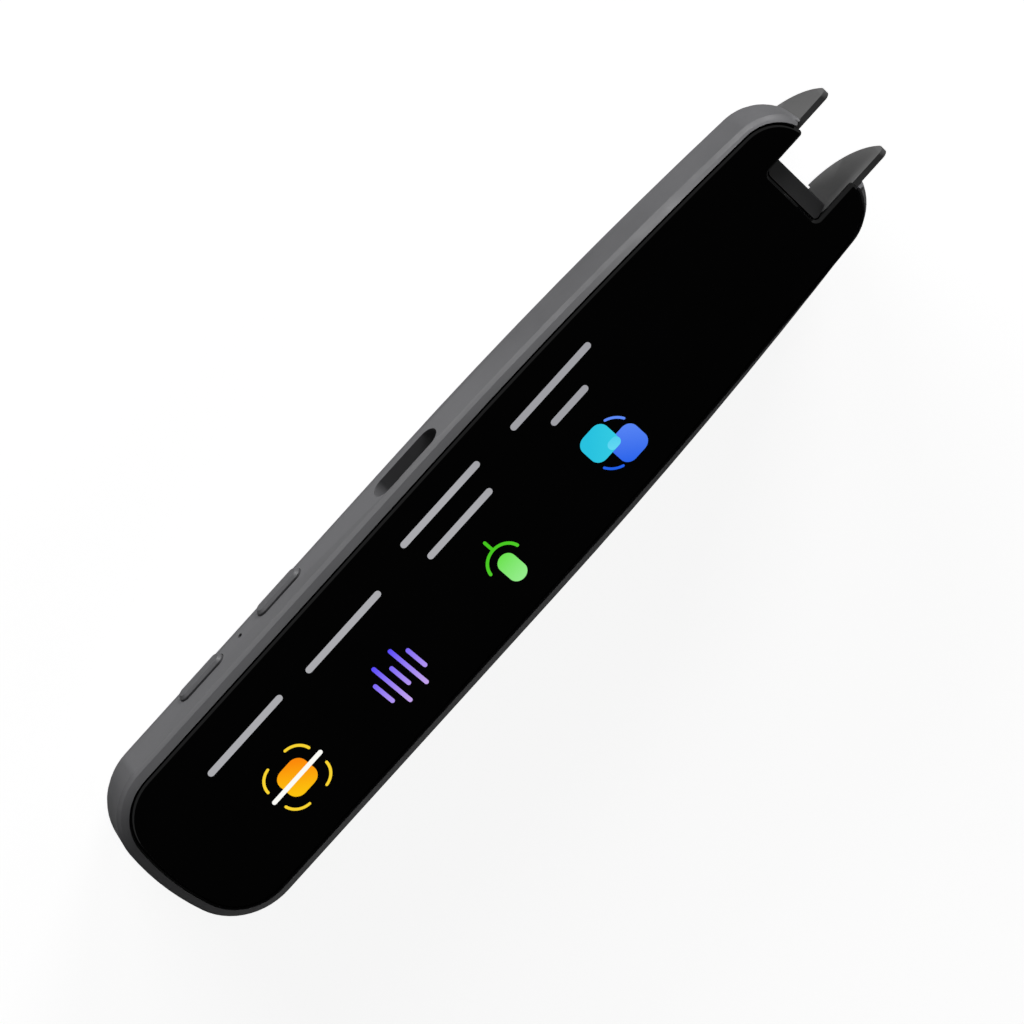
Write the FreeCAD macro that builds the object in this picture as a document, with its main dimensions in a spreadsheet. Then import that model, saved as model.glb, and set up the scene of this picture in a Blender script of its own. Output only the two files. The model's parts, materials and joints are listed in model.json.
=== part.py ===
import FreeCAD, Part
import math
import os
import re
import Sketcher

# Handheld scanning translator: a slim pen with a long glass screen, two side buttons and a
# two-prong scanning nib. Millimetres. X runs from the nib (negative) to the tail, -Y is the
# button side, +Z is the screen side. The origin is the middle of the flat back face.

os.makedirs("parts", exist_ok=True)
doc = FreeCAD.newDocument("ScanTranslator")

SIZES = {
    # Housing outline, seen from the screen side
    "tail_end": 74.0,
    "nose_end": 69.1,
    "body_width": 31.5,
    "tail_bow_radius": 40.0,
    "tail_corner_radius": 10.2,
    "taper_start": 5.0,
    "taper_radius": 740.0,
    "nose_corner_radius": 8.2,
    # Housing section
    "body_thickness": 11.2,
    "glass_proud": 0.2,
    "back_radius": 4.8,
    "rim_bevel": 0.5,
    "rim_width": 1.53,
    "floor": 1.3,
    "seat_width": 1.5,
    # Cover glass
    "glass_thickness": 0.9,
    "glue_thickness": 0.15,
    "glass_groove": 0.3,
    "glass_taper_start": 0.0,
    "glass_taper_radius": 900.0,
    "glass_nose_gap": 1.5,
    "glass_nose_radius": 6.6,
    "glass_chamfer": 0.4,
    # Scanning gap between the cheeks
    "gap_depth_from_end": 6.6,
    "glass_gap_width": 11.2,
    "glass_gap_inset": 2.8,
    "glass_gap_radius": 0.8,
    "glass_tip_radius": 0.6,
    # Scanning nib
    "prong_thickness": 1.0,
    "prong_spacing": 12.2,
    "prong_reach": 5.1,
    "prong_tip_radius": 1.1,
    "prong_foot": 0.5,
    "prong_top_gap": 0.2,
    "prong_belly_radius": 12.5,
    "nib_travel": 0.8,
    "nib_clearance": 0.1,
    "nib_bar": 1.6,
    "nib_bar_height": 1.5,
    "nib_stem_diameter": 1.0,
    "nib_stem_length": 1.8,
    "nib_stem_level": 2.15,
    "nib_switch_length": 3.4,
    "nib_switch_width": 4.8,
    # Sill, scanning window and camera
    "trim_depth": 2.6,
    "trim_back_drop": 0.4,
    "trim_front_drop": 1.5,
    "window_width": 8.2,
    "window_height": 3.3,
    "window_thickness": 0.8,
    "window_level": 5.1,
    "light_board_thickness": 0.8,
    "lamp_size": 1.2,
    "lamp_height": 0.6,
    "lamp_place": 3.1,
    "lens_diameter": 2.4,
    "lens_rim": 0.4,
    "lens_thickness": 0.6,
    "camera_width": 8.0,
    "camera_depth": 2.0,
    "bracket_thickness": 0.9,
    "bracket_leg": 1.1,
    "camera_flex_width": 6.0,
    # Cavity
    "nose_block_depth": 10.5,
    "cavity_corner": 2.5,
    "cavity_bevel": 1.0,
    # Side buttons, microphone hole and speaker slot
    "button_length": 9.0,
    "button_height": 2.6,
    "button_proud": 0.7,
    "button_gap": 0.1,
    "button_travel": 0.35,
    "button_bevel": 0.4,
    "button_flange": 0.6,
    "button_lip": 0.7,
    "button_stem": 1.5,
    "button_stem_reach": 0.5,
    "stem_room": 0.5,
    "power_button_place": 47.5,
    "function_button_place": 31.0,
    "mic_hole_place": 39.4,
    "mic_hole_diameter": 0.8,
    "speaker_slot_place": 5.1,
    "speaker_slot_length": 12.8,
    "speaker_slot_height": 4.0,
    "speaker_slot_drop": 3.6,
    # Tail socket
    "port_width": 9.0,
    "port_height": 3.2,
    "port_depth": 7.4,
    "port_clearance": 0.1,
    "port_mouth_depth": 0.8,
    "port_sheet": 0.35,
    "port_back": 1.2,
    "tongue_width": 6.6,
    "tongue_thickness": 0.7,
    # Display and its frame
    "frame_thickness": 1.0,
    "frame_nose_gap": 8.6,
    "display_thickness": 1.5,
    "display_length": 98.0,
    "display_width": 20.8,
    "display_tail_gap": 14.0,
    "display_side_gap": 1.35,
    "display_end_rim": 1.2,
    "display_rim_height": 0.1,
    "display_flex_width": 9.0,
    "flex_thickness": 0.2,
    "flex_loop": 1.6,
    # Main board
    "board_thickness": 1.0,
    "board_start": 19.0,
    "board_gap": 0.5,
    "board_side_gap": 1.7,
    "board_neck_gap": 13.0,
    "can_place": 27.0,
    "can_length": 22.0,
    "can_width": 12.0,
    "can_height": 1.7,
    "can_wall": 0.3,
    "processor_size": 9.0,
    "processor_height": 0.9,
    "connector_height": 0.9,
    "connector_depth": 2.2,
    # Battery, speaker and side board
    "battery_length": 34.0,
    "battery_width": 16.0,
    "battery_thickness": 4.6,
    "battery_gap": 2.5,
    "tape_thickness": 0.3,
    "tape_inset": 1.0,
    "speaker_depth": 3.8,
    "speaker_top_gap": 0.8,
    "speaker_overhang": 1.6,
    "mesh_thickness": 0.4,
    "mesh_hole": 0.75,
    "mesh_pitch": 1.25,
    "mesh_border": 0.6,
    "gasket_thickness": 0.85,
    "gasket_width": 1.0,
    "key_board_thickness": 0.8,
    "key_board_end": 5.5,
    "switch_depth": 1.3,
    "switch_length": 4.4,
    "switch_height": 3.2,
    "mic_depth": 1.1,
    "mic_size": 3.0,
    "boot_diameter": 1.8,
    # Screws
    "screw_diameter": 1.6,
    "screw_head": 2.8,
    "screw_head_height": 0.7,
    "screw_socket": 1.4,
    "frame_screw_length": 4.5,
    "board_screw_length": 2.1,
    "boss_diameter": 3.4,
    "boss_floor": 0.4,
    "nose_screw_gap": 13.6,
    "nose_screw_inset": 3.52,
    "tail_screw_gap": 10.5,
    "tail_screw_inset": 4.12,
    "board_screw_gap": 3.0,
    "board_screw_inset": 2.6,
    # Clearance between pieces that are put together
    "fit": 0.1,
}

sheet = doc.addObject("Spreadsheet::Sheet", "Sizes")
for row, (alias, value) in enumerate(SIZES.items(), start=1):
    sheet.set("A%d" % row, alias)
    sheet.set("B%d" % row, str(value))
    sheet.setAlias("B%d" % row, alias)
doc.recompute()

# Levels and places that follow from the sizes, written once as formulas
GLASS_TOP = "body_thickness"
RIM_TOP = "(body_thickness - glass_proud)"
GLASS_BASE = "(body_thickness - glass_thickness)"
SEAT = "(body_thickness - glass_thickness - glue_thickness)"
FRAME_TOP = "(body_thickness - glass_thickness - display_thickness)"
FRAME_BASE = "(body_thickness - glass_thickness - display_thickness - frame_thickness)"
CAVITY_INSET = "(rim_width + seat_width)"
CAVITY_NOSE = "(nose_end - nose_block_depth)"
WALL_IN = "(body_width / 2 - rim_width - seat_width)"
GLASS_INSET = "(rim_width + glass_groove)"
GAP_BACK = "(nose_end - gap_depth_from_end)"
PRONG_INNER = "(prong_spacing / 2)"
PRONG_OUTER = "(prong_spacing / 2 + prong_thickness)"
PRONG_TOP = "(body_thickness - glass_thickness - prong_top_gap)"
PRONG_SLOT = "(prong_spacing / 2 + prong_thickness + nib_clearance)"
MID_LEVEL = "(body_thickness / 2)"
SLOT_LEVEL = "(body_thickness - speaker_slot_drop)"
BOARD_BASE = "(body_thickness / 2 - port_height / 2 - board_thickness)"
BOARD_TOP = "(body_thickness / 2 - port_height / 2)"
TUNNEL_LOW = "(window_level - window_height / 2 - fit / 2)"
TRIM_BASE = "(window_level + window_height / 2 + fit / 2)"
WINDOW_LOW = "(window_level - window_height / 2)"
BATTERY_TOP = "(floor + tape_thickness + battery_thickness)"
DISPLAY_END = "(tail_end - display_tail_gap)"


def number(formula):
    """The present value of a formula written in sheet names."""
    return float(sheet.evalExpression(str(formula)))


def bound(formula):
    """The same formula, with each sheet name made a reference that other objects can follow."""
    def reference(match):
        word = match.group(0)
        return "Sizes." + word if word in SIZES else word

    return re.sub(r"[a-z]+(?:_[a-z]+)*", reference, str(formula))


def bind(thing, prop, formula):
    thing.setExpression(prop, bound(formula))


# Sketching helpers

def new_body(label):
    body = doc.addObject("PartDesign::Body", label)
    body.Label = label
    return body


def new_sketch(body, name, role, offset):
    """A sketch on one of the body's own origin planes, moved along the plane's normal."""
    sketch = body.newObject("Sketcher::SketchObject", name)
    plane = [f for f in body.Origin.OriginFeatures if f.Role == role][0]
    sketch.AttachmentSupport = [(plane, "")]
    sketch.MapMode = "FlatFace"
    bind(sketch, ".AttachmentOffset.Base.z", offset)
    return sketch


def fix(sketch, kind, formula, *where):
    """A dimension of the sketch that follows a formula."""
    index = sketch.addConstraint(Sketcher.Constraint(kind, *where, number(formula)))
    sketch.setExpression("Constraints[%d]" % index, bound(formula))


def fix_point(sketch, edge, end, across, up):
    fix(sketch, "DistanceX", across, edge, end)
    fix(sketch, "DistanceY", up, edge, end)


def arc(x, y, radius, begin, end):
    centre = FreeCAD.Vector(x, y, 0)
    return Part.ArcOfCircle(Part.Circle(centre, FreeCAD.Vector(0, 0, 1), radius), begin, end)


def line(x1, y1, x2, y2):
    return Part.LineSegment(FreeCAD.Vector(x1, y1, 0), FreeCAD.Vector(x2, y2, 0))


def corners_outline(sketch, points):
    """A closed outline of straight edges through corners given as pairs of formulas."""
    places = [FreeCAD.Vector(number(a), number(b), 0) for a, b in points]
    count = len(points)
    first = len(sketch.Geometry)
    for i in range(count):
        sketch.addGeometry(Part.LineSegment(places[i], places[(i + 1) % count]))
    for i in range(count):
        after = first + (i + 1) % count
        sketch.addConstraint(Sketcher.Constraint("Coincident", first + i, 2, after, 1))
        fix_point(sketch, first + i, 1, *points[i])


def rectangle(sketch, left, right, low, high):
    corners_outline(sketch, [(left, low), (right, low), (right, high), (left, high)])


def circle(sketch, across, up, diameter):
    centre = FreeCAD.Vector(number(across), number(up), 0)
    edge = sketch.addGeometry(Part.Circle(centre, FreeCAD.Vector(0, 0, 1), number(diameter) / 2))
    fix_point(sketch, edge, 3, across, up)
    fix(sketch, "Radius", "(%s) / 2" % diameter, edge)


def pill(sketch, across, up, length, height):
    """A slot outline with round ends, lying along the sketch's first axis."""
    x, y = number(across), number(up)
    radius = number(height) / 2
    half = number(length) / 2 - radius
    first = len(sketch.Geometry)
    left = arc(x - half, y, radius, math.pi / 2, 3 * math.pi / 2)
    right = arc(x + half, y, radius, -math.pi / 2, math.pi / 2)
    low = line(x - half, y - radius, x + half, y - radius)
    high = line(x + half, y + radius, x - half, y + radius)
    for edge in (left, low, right, high):
        sketch.addGeometry(edge)
    for i in range(4):
        sketch.addConstraint(Sketcher.Constraint("Tangent", first + i, 2, first + (i + 1) % 4, 1))
    fix_point(sketch, first, 3, "%s - (%s) / 2 + (%s) / 2" % (across, length, height), up)
    fix(sketch, "DistanceX", "%s + (%s) / 2 - (%s) / 2" % (across, length, height), first + 2, 3)
    fix(sketch, "Radius", "(%s) / 2" % height, first)


def plan_outline(sketch, inset, nose_end="nose_end", taper_start="taper_start",
                 taper_radius="taper_radius", nose_radius="nose_corner_radius", width_inset="0"):
    """The housing's plan, drawn in by an inset: a bowed tail with round corners, straight
    sides, a long taper arc on each side and a nose with round corners. Parallel outlines share
    their centres."""
    gap = number(inset) + number(width_inset)
    half = number("body_width") / 2
    bow, corner = number("tail_bow_radius"), number("tail_corner_radius")
    taper, nose = number(taper_radius), number(nose_radius)
    bow_x = number("tail_end") - bow
    corner_y = half - corner
    corner_x = bow_x + math.sqrt((bow - corner) ** 2 - corner_y ** 2)
    start = number(taper_start)
    taper_y = half - number(width_inset) - taper
    nose_x = -number(nose_end) + nose
    nose_y = taper_y + math.sqrt((taper - nose) ** 2 - (start - nose_x) ** 2)
    side = half - gap
    bow_angle = math.atan2(corner_y, corner_x - bow_x)
    taper_angle = math.atan2(nose_y - taper_y, nose_x - start)
    inner = number(inset)
    front = -number(nose_end) + inner
    edges = [
        arc(bow_x, 0, bow - gap, -bow_angle, bow_angle),
        arc(corner_x, corner_y, corner - gap, bow_angle, math.pi / 2),
        line(corner_x, side, start, side),
        arc(start, taper_y, taper - inner, math.pi / 2, taper_angle),
        arc(nose_x, nose_y, nose - inner, taper_angle, math.pi),
        line(front, nose_y, front, -nose_y),
        arc(nose_x, -nose_y, nose - inner, math.pi, 2 * math.pi - taper_angle),
        arc(start, -taper_y, taper - inner, -taper_angle, -math.pi / 2),
        line(start, -side, corner_x, -side),
        arc(corner_x, -corner_y, corner - gap, -math.pi / 2, -bow_angle),
    ]
    first = len(sketch.Geometry)
    for edge in edges:
        sketch.addGeometry(edge)
    for i in range(10):
        sketch.addConstraint(Sketcher.Constraint("Tangent", first + i, 2, first + (i + 1) % 10, 1))
    all_in = "(%s + %s)" % (inset, width_inset)
    fix_point(sketch, first, 3, "tail_end - tail_bow_radius", "0")
    fix(sketch, "Radius", "tail_bow_radius - %s" % all_in, first)
    for place, sign in ((1, ""), (9, "-")):
        fix(sketch, "DistanceY", "%s(body_width / 2 - tail_corner_radius)" % sign, first + place, 3)
        fix(sketch, "Radius", "tail_corner_radius - %s" % all_in, first + place)
    for place in (3, 7):
        fix(sketch, "DistanceX", taper_start, first + place, 3)
        fix(sketch, "Radius", "%s - (%s)" % (taper_radius, inset), first + place)
    for place in (4, 6):
        fix(sketch, "Radius", "%s - (%s)" % (nose_radius, inset), first + place)
    fix(sketch, "DistanceX", "(%s) - (%s)" % (inset, nose_end), first + 5, 1)


def glass_outline(sketch, inset):
    """The glass has the housing's tail and its own taper and nose."""
    plan_outline(sketch, inset, "(nose_end - glass_nose_gap)", "glass_taper_start",
                 "glass_taper_radius", "glass_nose_radius", GLASS_INSET)


def cavity_outline(sketch, inset, nose_end=CAVITY_NOSE):
    """The cavity follows the glass at the seat's width, with a blunt nose of its own."""
    gap = "(seat_width - glass_groove + %s)" % inset
    plan_outline(sketch, gap, "(%s + %s)" % (nose_end, gap), "glass_taper_start",
                 "glass_taper_radius", "(cavity_corner + %s)" % gap, GLASS_INSET)


def pad(body, sketch, length, name="Pad", reverse=False):
    feature = body.newObject("PartDesign::Pad", name)
    feature.Profile = sketch
    bind(feature, "Length", length)
    feature.Reversed = reverse
    sketch.Visibility = False
    doc.recompute()
    return feature


def pad_mid(body, sketch, length, name="Pad"):
    feature = pad(body, sketch, length, name)
    feature.Midplane = True
    doc.recompute()
    return feature


def pocket(body, sketch, depth, name="Pocket", reverse=False, middle=False):
    """A cut, checked to have taken something away."""
    before = body.Shape.Volume
    feature = body.newObject("PartDesign::Pocket", name)
    feature.Profile = sketch
    bind(feature, "Length", depth)
    feature.Reversed = reverse
    feature.Midplane = middle
    doc.recompute()
    if body.Shape.Volume > before - 1e-6:
        raise ValueError("%s of %s cuts nothing" % (name, body.Label))
    return feature


def edges_where(feature, test):
    return ["Edge%d" % (i + 1) for i, edge in enumerate(feature.Shape.Edges) if test(edge)]


def round_edges(body, base, radius, test, name="Fillet"):
    feature = body.newObject("PartDesign::Fillet", name)
    feature.Base = (base, edges_where(base, test))
    bind(feature, "Radius", radius)
    doc.recompute()
    return feature


def bevel_edges(body, base, size, test, name="Chamfer"):
    feature = body.newObject("PartDesign::Chamfer", name)
    feature.Base = (base, edges_where(base, test))
    bind(feature, "Size", size)
    doc.recompute()
    return feature


def at_level(edge, level):
    box = edge.BoundBox
    return abs(box.ZMin - level) < 1e-4 and abs(box.ZMax - level) < 1e-4


# Primitive helpers

def put(piece, x, y, z):
    for axis, formula in (("x", x), ("y", y), ("z", z)):
        bind(piece, ".Placement.Base." + axis, formula)


def block(label, x, y, z, length, width, height):
    """A plain block with its low corner at x, y, z."""
    piece = doc.addObject("Part::Box", label)
    piece.Label = label
    for prop, formula in (("Length", length), ("Width", width), ("Height", height)):
        bind(piece, prop, formula)
    put(piece, x, y, z)
    return piece


def rod(label, x, y, z, diameter, length, axis="Z"):
    """A cylinder that starts at x, y, z and runs along an axis."""
    piece = doc.addObject("Part::Cylinder", label)
    piece.Label = label
    bind(piece, "Radius", "(%s) / 2" % diameter)
    bind(piece, "Height", length)
    turns = {"Z": (0, 0, 1, 0), "X": (0, 1, 0, 90), "Y": (1, 0, 0, -90)}
    ax, ay, az, angle = turns[axis]
    turn = FreeCAD.Rotation(FreeCAD.Vector(ax, ay, az), angle)
    piece.Placement = FreeCAD.Placement(FreeCAD.Vector(), turn)
    put(piece, x, y, z)
    return piece


def join(label, pieces):
    fuse = doc.addObject("Part::MultiFuse", label)
    fuse.Label = label
    fuse.Shapes = pieces
    doc.recompute()
    return fuse


def cut(label, base, tool):
    piece = doc.addObject("Part::Cut", label)
    piece.Label = label
    piece.Base = base
    piece.Tool = tool
    doc.recompute()
    return piece


def group(label, pieces):
    """Separate equal solids that share one node."""
    compound = doc.addObject("Part::Compound", label)
    compound.Label = label
    compound.Links = pieces
    doc.recompute()
    return compound


# Places shared by several pieces

# The frame's screws stand at its four corners, ahead of the battery and beside the socket
NOSE_SCREW_X = "(-%s + nose_screw_gap)" % CAVITY_NOSE
NOSE_SCREW_Y = "(%s - nose_screw_inset)" % WALL_IN
TAIL_SCREW_X = "(tail_end - tail_screw_gap)"
TAIL_SCREW_Y = "(%s - tail_screw_inset)" % WALL_IN
SCREW_SPOTS = ((NOSE_SCREW_X, "-" + NOSE_SCREW_Y), (NOSE_SCREW_X, NOSE_SCREW_Y),
               (TAIL_SCREW_X, "-" + TAIL_SCREW_Y), (TAIL_SCREW_X, TAIL_SCREW_Y))

# The side board behind the buttons, and the main board's edges beside it
KEY_BOARD_FACE = "(%s - button_flange - stem_room - switch_depth)" % WALL_IN
BOARD_LOW = "(-%s + key_board_thickness + board_gap)" % KEY_BOARD_FACE
BOARD_HIGH = "(%s - board_side_gap)" % WALL_IN
BOARD_NECK = "(tail_end - board_neck_gap)"
BOARD_SCREW_SPOTS = (("(board_start + board_screw_gap)", "(%s + board_screw_inset)" % BOARD_LOW),
                     ("(%s - board_screw_gap - fit)" % BOARD_NECK, "(%s - board_screw_inset)" % BOARD_HIGH))
BUTTONS = (("power_button", "power_button_place"), ("function_button", "function_button_place"))


def make_back_shell():
    """The moulded housing: tapered tub with a rolled back, a glass seat, a forked nose with
    slots for the nib, and openings for the buttons, microphone, speaker and socket."""
    body = new_body("back_shell")
    sketch = new_sketch(body, "ShellPlan", "XY_Plane", "0")
    plan_outline(sketch, "0")
    outer = pad(body, sketch, RIM_TOP, "ShellBlock")
    top = number(RIM_TOP)
    back = round_edges(body, outer, "back_radius", lambda e: at_level(e, 0), "BackRolling")
    bevel_edges(body, back, "rim_bevel", lambda e: at_level(e, top), "RimBevel")

    sketch = new_sketch(body, "SeatPlan", "XY_Plane", RIM_TOP)
    glass_outline(sketch, "-glass_groove")
    pocket(body, sketch, "%s - %s" % (RIM_TOP, SEAT), "GlassSeat")

    sketch = new_sketch(body, "CavityPlan", "XY_Plane", SEAT)
    cavity_outline(sketch, "0")
    cavity = pocket(body, sketch, "%s - floor" % SEAT, "Cavity")
    low = number("floor")
    bevel_edges(body, cavity, "cavity_bevel", lambda e: at_level(e, low), "CavityBevel")

    # The scanning gap goes right through between the cheeks
    sketch = new_sketch(body, "GapPlan", "XY_Plane", GLASS_TOP)
    rectangle(sketch, "-nose_end - 2", "-" + GAP_BACK, "-" + PRONG_SLOT, PRONG_SLOT)
    pocket(body, sketch, "body_thickness + 1", "ScanningGap")

    # Two slots carry the prongs, and a low channel behind them carries the nib's cross bar
    sketch = new_sketch(body, "SlotPlan", "XY_Plane", SEAT)
    slot_inner = "(%s - nib_clearance)" % PRONG_INNER
    for low_y, high_y in ((slot_inner, PRONG_SLOT), ("-" + PRONG_SLOT, "-" + slot_inner)):
        rectangle(sketch, "-%s - 0.5" % GAP_BACK, "-%s + 0.5" % CAVITY_NOSE, low_y, high_y)
    pocket(body, sketch, "%s - floor" % SEAT, "ProngSlots")
    sketch = new_sketch(body, "BarChannelPlan", "XY_Plane", SEAT)
    rectangle(sketch, "-" + CAVITY_NOSE, "-%s + back_radius" % CAVITY_NOSE, "-" + PRONG_SLOT, PRONG_SLOT)
    pocket(body, sketch, "%s - floor" % SEAT, "BarChannel")

    # The camera looks out through a tunnel in the nose block
    sketch = new_sketch(body, "TunnelFace", "YZ_Plane", "-nose_end")
    rectangle(sketch, "-window_width / 2 - fit", "window_width / 2 + fit", TUNNEL_LOW, SEAT)
    pocket(body, sketch, "nose_block_depth + 0.5", "CameraTunnel", reverse=True)
    sketch = new_sketch(body, "TrimSeatPlan", "XY_Plane", SEAT)
    rectangle(sketch, "-%s - 0.5" % GAP_BACK, "-%s + trim_depth + fit" % GAP_BACK,
              "-" + PRONG_INNER, PRONG_INNER)
    pocket(body, sketch, "%s - %s" % (SEAT, TRIM_BASE), "TrimSeat")

    # Side openings
    sketch = new_sketch(body, "ButtonHoles", "XZ_Plane", "body_width / 2 + 1")
    for _, place in BUTTONS:
        pill(sketch, place, MID_LEVEL, "button_length", "button_height")
    circle(sketch, "mic_hole_place", MID_LEVEL, "mic_hole_diameter")
    pocket(body, sketch, "1 + %s + 0.5" % CAVITY_INSET, "SideHoles")
    sketch = new_sketch(body, "SpeakerSlot", "XZ_Plane", "body_width / 2 + 1")
    pill(sketch, "speaker_slot_place", SLOT_LEVEL, "speaker_slot_length", "speaker_slot_height")
    pocket(body, sketch, "1 + %s + 0.5" % CAVITY_INSET, "SpeakerOpening")

    # Socket opening in the tail
    sketch = new_sketch(body, "PortHole", "YZ_Plane", "tail_end + 1")
    pill(sketch, "0", MID_LEVEL, "port_width + 2 * port_clearance", "port_height + 2 * port_clearance")
    pocket(body, sketch, "1 + %s + 1" % CAVITY_INSET, "PortOpening")

    # Screw bosses rise from the floor to the frame and to the board
    for name, spots, level in (("FrameBosses", SCREW_SPOTS, FRAME_BASE),
                               ("BoardBosses", BOARD_SCREW_SPOTS, BOARD_BASE)):
        sketch = new_sketch(body, name, "XY_Plane", "floor - 0.2")
        for x, y in spots:
            circle(sketch, x, y, "boss_diameter")
        pad(body, sketch, "%s - floor + 0.2" % level, name + "Pad")
        sketch = new_sketch(body, name + "Bores", "XY_Plane", level)
        for x, y in spots:
            circle(sketch, x, y, "screw_diameter")
        pocket(body, sketch, "%s - floor - boss_floor" % level, name + "Bore")
    return body


def make_cover_glass():
    body = new_body("cover_glass")
    sketch = new_sketch(body, "GlassPlan", "XY_Plane", GLASS_BASE)
    glass_outline(sketch, "0")
    pad(body, sketch, "glass_thickness", "GlassPlate")
    sketch = new_sketch(body, "GapPlan", "XY_Plane", GLASS_TOP)
    gap_end = "-(%s - glass_gap_inset)" % GAP_BACK
    rectangle(sketch, "-nose_end", gap_end, "-glass_gap_width / 2", "glass_gap_width / 2")
    gap = pocket(body, sketch, "glass_thickness + 1", "GlassGap")
    inner, side = number(gap_end), number("glass_gap_width") / 2

    def gap_edge(edge):
        point = edge.CenterOfMass
        return edge.BoundBox.ZLength > 0.5 * number("glass_thickness") and abs(abs(point.y) - side) < 1e-3

    corners = round_edges(body, gap, "glass_gap_radius",
                          lambda e: gap_edge(e) and e.CenterOfMass.x > inner - 0.1, "GapCorners")
    tips = round_edges(body, corners, "glass_tip_radius",
                       lambda e: gap_edge(e) and e.CenterOfMass.x < inner - 2, "CheekTips")
    top = number(GLASS_TOP)
    bevel_edges(body, tips, "glass_chamfer", lambda e: at_level(e, top), "EdgeBevel")
    return body


def make_glass_adhesive():
    """A closed glue line between the seat and the glass, as wide as the seat."""
    body = new_body("glass_adhesive")
    sketch = new_sketch(body, "GlueOutline", "XY_Plane", SEAT)
    glass_outline(sketch, "fit")
    pad(body, sketch, "glue_thickness", "GlueSheet")
    sketch = new_sketch(body, "GlueWindow", "XY_Plane", GLASS_BASE)
    cavity_outline(sketch, "fit / 2")
    pocket(body, sketch, "glue_thickness", "GlueOpening")
    sketch = new_sketch(body, "GlueGap", "XY_Plane", GLASS_BASE)
    rectangle(sketch, "-nose_end", "-%s + 0.5" % CAVITY_NOSE, "-" + PRONG_SLOT, PRONG_SLOT)
    pocket(body, sketch, "glue_thickness", "NoseOpening")
    return body


def make_nose_trim():
    """The dark insert at the back of the scanning gap: a sloping sill in front of the glass,
    with a frame below it for the scanning window."""
    body = new_body("nose_trim")
    sketch = new_sketch(body, "TrimSide", "XZ_Plane", "0")
    front = "-" + GAP_BACK
    back = front + " + trim_depth"
    corners_outline(sketch, [
        (front, TRIM_BASE), (back, TRIM_BASE), (back, GLASS_TOP + " - trim_back_drop"),
        (front + " + 0.2", GLASS_TOP + " - trim_front_drop"),
        (front, GLASS_TOP + " - trim_front_drop - 0.2")])
    trim = pad_mid(body, sketch, "glass_gap_width - 2 * fit", "TrimBlock")
    behind = number(back)
    round_edges(body, trim, "glass_gap_radius", lambda e: e.BoundBox.ZLength > 1
                and abs(e.CenterOfMass.x - behind) < 1e-4, "TrimCorners")
    return body


def make_nib():
    """Two upright prongs with straight tops and curved lower edges, joined by a cross bar that
    carries the push stem."""
    body = new_body("scan_nib")
    tip = "(nose_end + prong_reach)"
    root = "(%s - nib_bar)" % CAVITY_NOSE
    foot = "(%s + nib_travel + 0.25)" % GAP_BACK
    inside_low = "(floor + nib_clearance)"
    sketch = new_sketch(body, "ProngSide", "XZ_Plane", "0")
    radius = number("prong_tip_radius")
    tip_x, tip_z = -number(tip) + radius, number(PRONG_TOP) - radius
    foot_x, foot_z = -number(foot), number("prong_foot")
    # The lower edge is one arc, tangent to the tip's round end and rising from the foot
    belly = number("prong_belly_radius")
    vx, vz = foot_x - tip_x, foot_z - tip_z
    reach = math.hypot(vx, vz)
    along = (reach ** 2 + (belly - radius) ** 2 - belly ** 2) / (2 * reach)
    off = math.sqrt((belly - radius) ** 2 - along ** 2)
    cx = tip_x + along * vx / reach - off * vz / reach
    cz = tip_z + along * vz / reach + off * vx / reach
    tip_angle = math.atan2(tip_z - cz, tip_x - cx)
    foot_angle = math.atan2(foot_z - cz, foot_x - cx)
    root_x, low_z, top_z = -number(root), number(inside_low), number(PRONG_TOP)
    turn = 2 * math.pi
    edges = [
        arc(tip_x, tip_z, radius, math.pi / 2, tip_angle + turn),
        arc(cx, cz, belly, tip_angle + turn, foot_angle + turn),
        line(foot_x, foot_z, foot_x, low_z),
        line(foot_x, low_z, root_x, low_z),
        line(root_x, low_z, root_x, top_z),
        line(root_x, top_z, tip_x, top_z),
    ]
    for edge in edges:
        sketch.addGeometry(edge)
    sketch.addConstraint(Sketcher.Constraint("Tangent", 0, 2, 1, 1))
    for i in range(1, 5):
        sketch.addConstraint(Sketcher.Constraint("Coincident", i, 2, i + 1, 1))
    sketch.addConstraint(Sketcher.Constraint("Tangent", 5, 2, 0, 1))
    fix_point(sketch, 0, 3, "-%s + prong_tip_radius" % tip, "%s - prong_tip_radius" % PRONG_TOP)
    fix(sketch, "Radius", "prong_tip_radius", 0)
    fix(sketch, "Radius", "prong_belly_radius", 1)
    fix_point(sketch, 2, 1, "-" + foot, "prong_foot")
    fix_point(sketch, 3, 1, "-" + foot, inside_low)
    fix_point(sketch, 4, 1, "-" + root, inside_low)
    fix(sketch, "DistanceX", "-" + root, 5, 1)
    pad_mid(body, sketch, "2 * " + PRONG_OUTER, "ProngBlock")
    sketch = new_sketch(body, "BetweenProngs", "XZ_Plane", "0")
    rectangle(sketch, "-nose_end - prong_reach - 1", "-%s - nib_bar" % root, "0", "body_thickness")
    pocket(body, sketch, "2 * " + PRONG_INNER, "ProngGap", middle=True)
    sketch = new_sketch(body, "AboveBar", "XZ_Plane", "0")
    rectangle(sketch, "-%s - nib_bar - 1" % root, "-%s + 1" % root,
              inside_low + " + nib_bar_height", "body_thickness")
    pocket(body, sketch, "2 * " + PRONG_INNER, "BarRelief", middle=True)
    sketch = new_sketch(body, "StemFace", "YZ_Plane", "-%s - 0.5" % root)
    circle(sketch, "0", "nib_stem_level", "nib_stem_diameter")
    pad(body, sketch, "nib_stem_length + 0.5", "PushStem")
    return body


# The nib's back face at rest, and the switch that stands behind it
NIB_BACK = "(-%s + nib_bar)" % CAVITY_NOSE
SWITCH_FACE = "(%s + nib_travel + fit)" % NIB_BACK
CAMERA_FACE = "(%s - 0.2)" % SWITCH_FACE


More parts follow.
